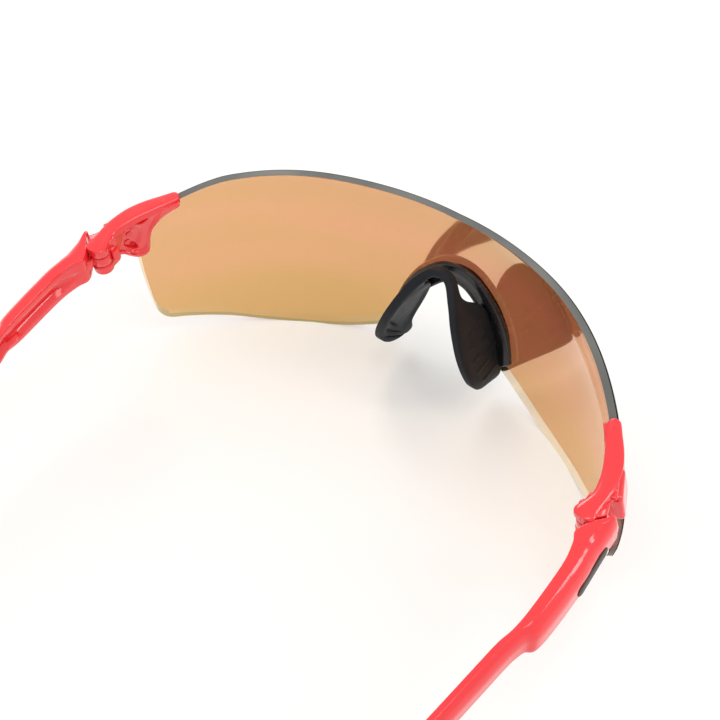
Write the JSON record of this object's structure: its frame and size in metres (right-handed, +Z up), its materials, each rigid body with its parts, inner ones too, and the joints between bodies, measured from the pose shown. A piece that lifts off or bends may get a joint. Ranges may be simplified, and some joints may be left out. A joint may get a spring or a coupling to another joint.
{
  "type": "wraparound sport sunglasses",
  "caption": "Wraparound shield sunglasses with a tilted one-piece lens, soft nose saddle and two folding arms with rubber ear tips.",
  "frame": {"origin": "on the table, under the middle of the glasses' overall box, with the arms open", "axes": "+Z up; the lens faces -Y and the arms run back along +Y; +X is the wearer's left; the two halves mirror about X = 0"},
  "size_m": [0.1398, 0.1732, 0.0516],
  "materials": {
    "lens_polycarbonate": "smooth polycarbonate, peach mirror coating",
    "carrier_plastic": "satin black moulded plastic",
    "soft_rubber": "matte soft rubber",
    "inlay_plastic": "dark satin insert",
    "pin_steel": "turned steel",
    "red_plastic": "glossy red moulded nylon"
  },
  "bodies": {
    "front": {"end_piece_left": "red_plastic", "end_piece_right": "red_plastic", "hinge_pin_left": "pin_steel", "hinge_pin_right": "pin_steel", "lens": "lens_polycarbonate", "lens_stud_lower_left": "red_plastic", "lens_stud_lower_right": "red_plastic", "lens_stud_upper_left": "red_plastic", "lens_stud_upper_right": "red_plastic", "nose_carrier": "carrier_plastic", "nose_pad": "soft_rubber"},
    "arm_left": {"arm_left": "red_plastic", "arm_inlay_left": "inlay_plastic", "ear_sock_left": "soft_rubber"},
    "arm_right": {"arm_right": "red_plastic", "arm_inlay_right": "inlay_plastic", "ear_sock_right": "soft_rubber"}
  },
  "joints": [
    {"name": "arm_left_fold", "type": "hinge", "parent": "front", "child": "arm_left", "pos_m": [0.063, -0.03027, 0.03724], "axis": [0, 0.1874, 0.9823], "range_deg": [0, 88]},
    {"name": "arm_right_fold", "type": "hinge", "parent": "front", "child": "arm_right", "pos_m": [-0.063, -0.03027, 0.03724], "axis": [0, -0.1874, -0.9823], "range_deg": [0, 80]}
  ]
}
